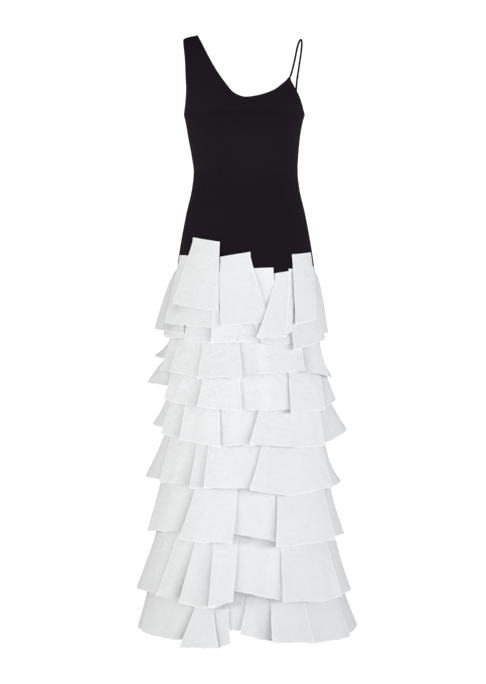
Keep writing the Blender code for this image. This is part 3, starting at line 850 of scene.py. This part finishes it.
# Soft folds of the jersey: their middle, half length, half width, lean in degrees, and height
Fold = namedtuple("Fold", "facing x drop length width lean height")
FOLDS = (
    Fold("front", -1.25, 34.0, 19.0, 0.55, 0.0, 0.09),
    Fold("front", -9.5, 34.5, 5.0, 0.7, 62.0, -0.14),
    Fold("front", -9.0, 37.2, 4.5, 0.7, 70.0, -0.12),
    Fold("front", 9.5, 33.5, 5.0, 0.7, -66.0, -0.14),
    Fold("front", 9.2, 36.6, 4.2, 0.7, -74.0, -0.11),
    Fold("front", -11.0, 20.5, 4.5, 0.8, 40.0, -0.16),
    Fold("front", 10.5, 20.0, 4.0, 0.8, -38.0, -0.15),
    Fold("front", -12.6, 9.0, 7.0, 1.0, 8.0, -0.10),
    Fold("back", 0.5, 35.5, 5.5, 0.8, 88.0, -0.16),
    Fold("back", -1.0, 38.6, 5.0, 0.8, 94.0, -0.13),
    Fold("back", -8.0, 33.0, 5.0, 0.7, 66.0, -0.14),
    Fold("back", 8.2, 33.8, 5.0, 0.7, -64.0, -0.14),
    Fold("back", -11.5, 10.0, 7.0, 1.0, 10.0, -0.10),
)


def folded(grid, facing):
    """The panel with its turned edges raised a little and its soft folds."""
    down, sideways = from_edges(grid)
    inwards = (np.minimum(down, sideways) - TURNED_EDGE) / TURNED_EDGE_STEP
    rise = TURNED_EDGE_RISE * (1.0 - eased(inwards + 0.5))
    x, drop = grid[..., 0] / CM, -grid[..., 2] / CM
    for fold in FOLDS:
        if fold.facing == facing:
            lean = math.radians(fold.lean)
            along = ((drop - fold.drop) * math.cos(lean) + (x - fold.x) * math.sin(lean)) / fold.length
            away = ((x - fold.x) * math.cos(lean) - (drop - fold.drop) * math.sin(lean)) / fold.width
            rise = rise + fold.height * np.exp(-away * away) * np.exp(-(along**4))
    rise *= eased((HIP_SEAM_DROP - FOLDS_END_ABOVE_HIP - drop) / FOLDS_FADE_OVER)
    return grid + outward(grid) * (rise * CM)[..., None]


def add_panel(facing, armhole, neckline):
    """The front or back of the bodice. Gives back its points, which the neckline's stitches follow."""
    plain = panel_grid(facing, armhole, neckline)
    shaped = folded(plain, facing)
    edges = np.minimum(*from_edges(plain))
    piece = cloth_mesh(f"cloth_bodice_{facing}", [shaped], JERSEY, black_jersey, edges=edges)
    declare(piece, f"bodice_{facing}")
    return shaped


def add_strap():
    """The rolled strap: a thin tube of cloth on a smooth curve through its route."""
    route = np.array([STRAP_ROUTE[0], *STRAP_ROUTE, STRAP_ROUTE[-1]], float) * CM
    points = []
    for before, start, end, after in zip(route, route[1:], route[2:], route[3:]):
        for t in np.arange(0.0, 1.0, STRAP_STEP):
            pull = (end - before) * t + (2 * before - 5 * start + 4 * end - after) * t**2
            points.append(start + (pull + (3 * start - before - 3 * end + after) * t**3) / 2)
    points = np.array([*points, route[-1]])
    along = np.gradient(points, axis=0)
    along /= np.linalg.norm(along, axis=1, keepdims=True)
    side = np.cross(along, [1.0, 0.0, 0.0])
    side /= np.linalg.norm(side, axis=1, keepdims=True)
    other = np.cross(side, along)
    turns = np.linspace(0.0, 2.0 * math.pi, STRAP_SIDES + 1)
    seam = STRAP_SEAM_RISE * np.exp(-(((turns - math.pi) / STRAP_SEAM_WIDTH) ** 2))
    radius = (STRAP_RADIUS - STRAP_WALL) * CM * (1.0 + seam)
    grid = points[:, None] + radius[None, :, None] * (
        np.cos(turns)[None, :, None] * side[:, None] + np.sin(turns)[None, :, None] * other[:, None]
    )
    piece = cloth_mesh("cloth_shoulder_strap", [grid], STRAP_WALL, black_jersey, STRAP_WEAVE)
    declare(
        piece, "shoulder_strap",
    )


def add_underskirt(facing):
    """The front or back of the plain skirt under the tiers, in soft folds that lie inside its solid."""
    start = (-90.0 if facing == "front" else 90.0) + UNDERSKIRT_SIDE_GAP
    end = start + 180.0 - 2.0 * UNDERSKIRT_SIDE_GAP
    angles = np.linspace(start, end, UNDERSKIRT_COLUMNS)[None, :]
    drops = np.linspace(HIP_SEAM_DROP + HIP_SEAM_GAP, UNDERSKIRT_HEM_DROP, UNDERSKIRT_ROWS)[:, None]
    turn = np.radians(angles)
    low = (drops - HIP_SEAM_DROP) / (UNDERSKIRT_HEM_DROP - HIP_SEAM_DROP)
    folds = -UNDERSKIRT_FOLD_DEPTH * low * (1.0 + np.sin(UNDERSKIRT_FOLDS * turn + 2.0 * low)) / 2
    grid = on_gown(drops, angles, folds)
    piece = cloth_mesh(f"cloth_underskirt_{facing}", [grid], FLAP_CLOTH, white_cloth, UNDERSKIRT_WEAVE)
    declare(
        piece, f"underskirt_{facing}",
    )


# Finishes of the two cloths: colours from darker to lighter and at a cut edge, the threads, how much these
# stand up, and how crumpled the cloth is
Finish = namedtuple(
    "Finish", "name roughness sheen gloss darker lighter cut_edge knit threads_per_cm relief crumple",
)
JERSEY_FINISH = Finish(
    name="black_jersey_cloth", roughness=0.9, sheen=0.0, gloss=0.06,
    darker=(0.0082, 0.0055, 0.0085), lighter=(0.0114, 0.0078, 0.0118), cut_edge=(0.0145, 0.0105, 0.015),
    knit=True, threads_per_cm=12.0, relief=0.4, crumple=0.12,
)
SKIRT_FINISH = Finish(
    name="white_skirt_cloth", roughness=0.85, sheen=0.05, gloss=0.2,
    darker=(0.82, 0.822, 0.83), lighter=(0.86, 0.862, 0.87), cut_edge=(0.95, 0.95, 0.955),
    knit=False, threads_per_cm=18.0, relief=0.15, crumple=0.55,
)

# Patterns on the cloth: patches and flecks for each metre, the share that the flecks have in its tone, how
# far from a cut edge it begins to be paler and is palest, in centimetres, then crumples for each metre, and
# how high these and the threads stand, in metres
PATCHES = 7.0
FLECKS = 260.0
FLECK_SHARE = 0.35
PALE_FROM = 0.32
PALEST = 0.1
SOFT_CRUMPLES = 34.0
SHARP_CRUMPLES = 36.0
CRUMPLE_HEIGHT = 0.006
THREAD_HEIGHT = 0.0002

# The jersey's knitted stitches: rows for each column of them, how far their legs lean, and how full they are
KNIT_ROWS = 0.8
KNIT_LEAN = 2.4
KNIT_BODY = 1.4

# Sewing thread: twists for each metre, and its share of light between them
THREAD_TWIST = 900.0
THREAD_SHADOW = 0.75

# A Mix node's sockets for its share, its first and second colours, and its result
MIX_SHARE, MIX_FIRST, MIX_SECOND, MIX_RESULT = 0, 6, 7, 2


def add_node(tree, kind, **inputs):
    """A shader node with some of its settings and inputs given."""
    node = tree.nodes.new(kind)
    for name, value in inputs.items():
        if hasattr(node, name):
            setattr(node, name, value)
        else:
            node.inputs[name.replace("_", " ")].default_value = value
    return node


def maths(tree, operation, *values):
    """A sum whose values are numbers or other nodes' results."""
    node = tree.nodes.new("ShaderNodeMath")
    node.operation = operation
    for socket, value in zip(node.inputs, values):
        if isinstance(value, (int, float)):
            socket.default_value = value
        else:
            tree.links.new(value, socket)
    return node.outputs[0]


def mix_colours(tree, share, first, second):
    """A mix of two colours, of which the first may be another node's result."""
    node = tree.nodes.new("ShaderNodeMix")
    node.data_type = "RGBA"
    tree.links.new(share, node.inputs[MIX_SHARE])
    if isinstance(first, tuple):
        node.inputs[MIX_FIRST].default_value = (*first, 1.0)
    else:
        tree.links.new(first, node.inputs[MIX_FIRST])
    node.inputs[MIX_SECOND].default_value = (*second, 1.0)
    return node.outputs[MIX_RESULT]


def pattern(tree, place, **sizes):
    """A soft random pattern that stays with the piece."""
    noise = add_node(tree, "ShaderNodeTexNoise", **sizes)
    tree.links.new(place, noise.inputs["Vector"])
    return noise.outputs[0]


def cloth_shader(finish):
    """Cloth: two tones in soft patches, a paler cut edge, painted shade from its points' attribute, and
    threads that follow the piece's flat layout.
    """
    material = bpy.data.materials.new(finish.name)
    material.use_nodes = True
    tree = material.node_tree
    shader = tree.nodes["Principled BSDF"]
    shader.inputs["Roughness"].default_value = finish.roughness
    shader.inputs["Sheen Weight"].default_value = finish.sheen
    shader.inputs["Sheen Roughness"].default_value = 0.5
    shader.inputs["Specular IOR Level"].default_value = finish.gloss
    place = tree.nodes.new("ShaderNodeTexCoord").outputs["Object"]

    # Colour, with painted shade
    patches = pattern(tree, place, Scale=PATCHES, Detail=3.0)
    flecks = pattern(tree, place, Scale=FLECKS, Detail=2.0)
    mixed = maths(tree, "ADD", maths(tree, "MULTIPLY_ADD", flecks, FLECK_SHARE, -FLECK_SHARE / 2), patches)
    tone = mix_colours(tree, mixed, finish.darker, finish.lighter)
    cut = add_node(tree, "ShaderNodeAttribute", attribute_name="cut_edge")
    near = add_node(tree, "ShaderNodeMapRange", From_Min=PALE_FROM, From_Max=PALEST)
    tree.links.new(cut.outputs["Fac"], near.inputs["Value"])
    edged = mix_colours(tree, near.outputs[0], tone, finish.cut_edge)
    # Painted shade: the colour is darkened by the attribute that holds the shade beside covering edges and on
    # shaded flaps
    painted_shade = add_node(tree, "ShaderNodeAttribute", attribute_name="painted_shade")
    dimmed = tree.nodes.new("ShaderNodeVectorMath")
    dimmed.operation = "SCALE"
    tree.links.new(edged, dimmed.inputs[0])
    tree.links.new(maths(tree, "SUBTRACT", 1.0, painted_shade.outputs["Fac"]), dimmed.inputs["Scale"])
    tree.links.new(dimmed.outputs[0], shader.inputs["Base Color"])

    # Threads
    flat = add_node(tree, "ShaderNodeUVMap", uv_map="cloth")
    parts = tree.nodes.new("ShaderNodeSeparateXYZ")
    tree.links.new(flat.outputs[0], parts.inputs[0])
    turns = 2.0 * math.pi * finish.threads_per_cm / CM
    across = maths(tree, "MULTIPLY", parts.outputs[0], turns)
    down = maths(tree, "MULTIPLY", parts.outputs[1], turns)
    if finish.knit:
        leg = maths(tree, "ABSOLUTE", maths(tree, "SINE", maths(tree, "MULTIPLY", across, 0.5)))
        rows = maths(tree, "MULTIPLY_ADD", leg, KNIT_LEAN, maths(tree, "MULTIPLY", down, KNIT_ROWS))
        threads = maths(tree, "MULTIPLY", maths(tree, "ADD", maths(tree, "SINE", rows), KNIT_BODY), leg)
    else:
        threads = maths(tree, "MULTIPLY", maths(tree, "SINE", across), maths(tree, "SINE", down))

    # Crumples from handling, and the threads on top of them
    soft = pattern(tree, place, Scale=SOFT_CRUMPLES, Detail=3.0, Roughness=0.55)
    sharp = pattern(tree, place, Scale=SHARP_CRUMPLES, Detail=2.0, Roughness=0.5, Distortion=0.5)
    ridge = maths(tree, "ABSOLUTE", maths(tree, "SUBTRACT", sharp, 0.5))
    handled = add_node(tree, "ShaderNodeBump", Strength=finish.crumple, Distance=CRUMPLE_HEIGHT)
    tree.links.new(maths(tree, "SUBTRACT", soft, ridge), handled.inputs["Height"])
    relief = add_node(tree, "ShaderNodeBump", Strength=finish.relief, Distance=THREAD_HEIGHT)
    tree.links.new(maths(tree, "ADD", threads, flecks), relief.inputs["Height"])
    tree.links.new(handled.outputs[0], relief.inputs["Normal"])
    tree.links.new(relief.outputs[0], shader.inputs["Normal"])
    return material


def thread_shader(name, colour):
    """Sewing thread, darker between its twists."""
    material = bpy.data.materials.new(name)
    material.use_nodes = True
    tree = material.node_tree
    shader = tree.nodes["Principled BSDF"]
    shader.inputs["Roughness"].default_value = 0.6
    place = tree.nodes.new("ShaderNodeTexCoord").outputs["Object"]
    twist = pattern(tree, place, Scale=THREAD_TWIST)
    shadow = tuple(THREAD_SHADOW * part for part in colour)
    tree.links.new(mix_colours(tree, twist, shadow, colour), shader.inputs["Base Color"])
    return material


# Stitching: how far in from an edge it runs and how far off the cloth, in centimetres, and its sizes,
# in metres
NECK_STITCHES_IN = 0.45
STRIP_STITCHES_IN = 0.4
STITCHES_OFF = 0.01
NECK_STITCHES = {"Spacing": 0.0032, "Stitch length": 0.0023, "Thread thickness": 0.00035}
STRIP_STITCHES = {"Spacing": 0.0034, "Stitch length": 0.0025, "Thread thickness": 0.0004}
STITCHED_ROWS = len(STRIP_ROWS) + 1


def stitch_tree():
    """Repeats a short thread along a line: inputs are the spacing, the thread's length and thickness."""
    tree = bpy.data.node_groups.new("stitches_along_a_line", "GeometryNodeTree")
    face = tree.interface
    face.new_socket("Line", in_out="INPUT", socket_type="NodeSocketGeometry")
    for label in ("Spacing", "Stitch length", "Thread thickness"):
        face.new_socket(label, in_out="INPUT", socket_type="NodeSocketFloat")
    face.new_socket("Thread", in_out="INPUT", socket_type="NodeSocketMaterial")
    face.new_socket("Stitches", in_out="OUTPUT", socket_type="NodeSocketGeometry")
    start, end = tree.nodes.new("NodeGroupInput"), tree.nodes.new("NodeGroupOutput")
    line = tree.nodes.new("GeometryNodeMeshToCurve")
    spaced = tree.nodes.new("GeometryNodeResampleCurve")
    spaced.mode = "LENGTH"
    tangent = tree.nodes.new("GeometryNodeInputTangent")
    turned = tree.nodes.new("FunctionNodeAlignRotationToVector")
    turned.axis = "X"
    stitch = tree.nodes.new("GeometryNodeMeshIcoSphere")
    stitch.inputs["Radius"].default_value = 0.5
    stitch.inputs["Subdivisions"].default_value = 1
    size = tree.nodes.new("ShaderNodeCombineXYZ")
    placed = tree.nodes.new("GeometryNodeInstanceOnPoints")
    real = tree.nodes.new("GeometryNodeRealizeInstances")
    painted = tree.nodes.new("GeometryNodeSetMaterial")
    for source, target in (
        (start.outputs["Line"], line.inputs["Mesh"]),
        (line.outputs["Curve"], spaced.inputs["Curve"]),
        (start.outputs["Spacing"], spaced.inputs["Length"]),
        (spaced.outputs["Curve"], placed.inputs["Points"]),
        (stitch.outputs["Mesh"], placed.inputs["Instance"]),
        (tangent.outputs["Tangent"], turned.inputs["Vector"]),
        (turned.outputs["Rotation"], placed.inputs["Rotation"]),
        (start.outputs["Stitch length"], size.inputs["X"]),
        (start.outputs["Thread thickness"], size.inputs["Y"]),
        (start.outputs["Thread thickness"], size.inputs["Z"]),
        (size.outputs[0], placed.inputs["Scale"]),
        (placed.outputs["Instances"], real.inputs["Geometry"]),
        (real.outputs["Geometry"], painted.inputs["Geometry"]),
        (start.outputs["Thread"], painted.inputs["Material"]),
        (painted.outputs["Geometry"], end.inputs["Stitches"]),
    ):
        tree.links.new(source, target)
    return tree


def add_stitching(name, lines, thread, sizes):
    """A row of stitches along each line."""
    points, edges = [], []
    for line in lines:
        edges += [(len(points) + i, len(points) + i + 1) for i in range(len(line) - 1)]
        points += [tuple(point) for point in line]
    mesh = bpy.data.meshes.new(name)
    mesh.from_pydata(points, edges, [])
    piece = bpy.data.objects.new(name, mesh)
    bpy.context.scene.collection.objects.link(piece)
    sewing = piece.modifiers.new("sewing", "NODES")
    sewing.node_group = stitches
    sockets = {socket.name: socket.identifier for socket in stitches.interface.items_tree}
    for label, value in sizes.items():
        sewing[sockets[label]] = value
    sewing[sockets["Thread"]] = thread
    bpy.context.view_layer.update()
    depsgraph = bpy.context.evaluated_depsgraph_get()
    made = bpy.data.meshes.new_from_object(piece.evaluated_get(depsgraph))
    piece.modifiers.clear()
    piece.data = made
    made.name = name
    made.shade_smooth()
    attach(piece, "root")


def inset_line(grid, distance):
    """A line on the cloth's outer face, a distance in from the grid's first row."""
    off = outward(grid)[0] * (JERSEY + STITCHES_OFF) * CM
    lengths = along_cloth(grid, 0)
    line = [
        [np.interp(distance * CM, lengths[:, column], grid[:, column, axis]) for axis in range(3)]
        for column in range(grid.shape[1])
    ]
    return np.array(line) + off


# Light, floor and camera, in metres and watts, with the camera's lens and film in millimetres
WORLD_LIGHT = 0.38
BACKDROP = 1.15
LIGHT_SPREAD = 120.0
Light = namedtuple("Light", "name place aim size power colour")
LIGHTS = (
    Light("front", (0.2, -5.0, -1.05), (0.0, 0.0, 0.0), (3.0, 0.8), 31.0, (0.965, 0.98, 1.0)),
    Light("key", (2.6, -3.9, -0.9), (0.0, 0.0, 0.1), (2.0, 1.0), 13.0, (0.965, 0.98, 1.0)),
    Light("left", (-3.8, -2.0, -0.85), (0.0, 0.0, 0.3), (2.2, 1.1), 39.0, (1.0, 1.0, 0.985)),
    Light("right", (3.5, -2.2, -0.85), (0.0, 0.0, 0.2), (2.4, 1.1), 26.0, (0.96, 0.975, 1.0)),
    Light("back", (0.4, 4.6, -0.8), (0.0, 0.0, -0.1), (3.0, 1.0), 46.0, (1.0, 1.0, 1.0)),
)
FLOOR_LEVEL = -1.505
FLOOR_REACH = 40.0
CAMERA_PLACE = (-0.00625, -4.5, -0.7575)
LENS_LENGTH = 94.74
FILM_WIDTH = 36.0
FARTHEST_SEEN = 100.0


def add_light(light):
    """A soft light behind a grid, so that it falls off away from where it is aimed."""
    lamp = bpy.data.lights.new(light.name, "AREA")
    lamp.shape = "ELLIPSE"
    lamp.size, lamp.size_y = light.size
    lamp.spread = math.radians(LIGHT_SPREAD)
    lamp.energy = light.power
    lamp.color = light.colour
    holder = bpy.data.objects.new(light.name, lamp)
    holder.location = light.place
    holder.rotation_euler = (Vector(light.aim) - Vector(light.place)).to_track_quat("-Z", "Y").to_euler()
    bpy.context.scene.collection.objects.link(holder)


def add_studio():
    """A white backdrop all round, soft lights, and a white floor that throws no light on the gown."""
    world = bpy.data.worlds.new("studio")
    world.use_nodes = True
    tree = world.node_tree
    backdrop = tree.nodes["Background"]
    backdrop.inputs["Color"].default_value = (1.0, 1.0, 0.99, 1.0)
    seen = tree.nodes.new("ShaderNodeLightPath").outputs["Is Camera Ray"]
    glow = maths(tree, "MULTIPLY_ADD", seen, BACKDROP - WORLD_LIGHT, WORLD_LIGHT)
    tree.links.new(glow, backdrop.inputs["Strength"])
    bpy.context.scene.world = world
    bpy.context.scene.view_settings.view_transform = "Standard"
    for light in LIGHTS:
        add_light(light)
    paper = bpy.data.materials.new("floor_paper")
    paper.use_nodes = True
    shader = paper.node_tree.nodes["Principled BSDF"]
    shader.inputs["Base Color"].default_value = (0.5, 0.5, 0.5, 1.0)
    shader.inputs["Roughness"].default_value = 0.9
    shader.inputs["Emission Color"].default_value = (1.0, 1.0, 1.0, 1.0)
    shader.inputs["Emission Strength"].default_value = 1.0
    mesh = bpy.data.meshes.new("floor")
    square = ((-FLOOR_REACH, -FLOOR_REACH), (FLOOR_REACH, -FLOOR_REACH), (FLOOR_REACH, FLOOR_REACH),
              (-FLOOR_REACH, FLOOR_REACH))
    mesh.from_pydata([(x, y, FLOOR_LEVEL) for x, y in square], [], [(0, 1, 2, 3)])
    mesh.materials.append(paper)
    floor = bpy.data.objects.new("floor", mesh)
    bpy.context.scene.collection.objects.link(floor)
    floor.visible_diffuse = False


def add_camera():
    """A level camera in front of the gown, at half its height."""
    lens = bpy.data.cameras.new("camera")
    lens.lens = LENS_LENGTH
    lens.sensor_width = FILM_WIDTH
    lens.clip_end = FARTHEST_SEEN
    camera = bpy.data.objects.new("camera", lens)
    camera.location = CAMERA_PLACE
    camera.rotation_euler = (math.pi / 2, 0.0, 0.0)
    bpy.context.scene.collection.objects.link(camera)
    bpy.context.scene.camera = camera


# The finishes, then the gown from the bodice down
black_jersey = cloth_shader(JERSEY_FINISH)
white_cloth = cloth_shader(SKIRT_FINISH)
black_thread = thread_shader("black_thread", (0.02, 0.017, 0.021))
white_thread = thread_shader("white_thread", (0.85, 0.85, 0.86))
stitches = stitch_tree()

front_panel = add_panel("front", FRONT_ARMHOLE, FRONT_NECKLINE)
back_panel = add_panel("back", BACK_ARMHOLE, BACK_NECKLINE)
add_strap()
add_underskirt("front")
add_underskirt("back")

sewn_tops = []
for number, flap in enumerate(TOP_FLAPS, start=1):
    for facing in ("front", "back") if flap.back_too else ("front",):
        sewn_top = add_top_flap(number, flap, facing)[:STITCHED_ROWS]
        sewn_tops.append(inset_line(sewn_top, STRIP_STITCHES_IN))
for number, tier in enumerate(TIERS):
    add_tier(number, tier, "front")
    add_tier(number, tier, "back")

# The neckline's stitches begin where the shoulder seam ends
seam_columns = round((SHOULDER_ANGLE + 90.0) / PANEL_STEP)
necklines = [
    inset_line(front_panel[:UPPER_ROWS, seam_columns:], NECK_STITCHES_IN),
    inset_line(back_panel[:UPPER_ROWS, :-seam_columns], NECK_STITCHES_IN),
]
add_stitching("black_stitching", necklines, black_thread, NECK_STITCHES)
add_stitching("white_stitching", sewn_tops, white_thread, STRIP_STITCHES)

add_studio()
add_camera()
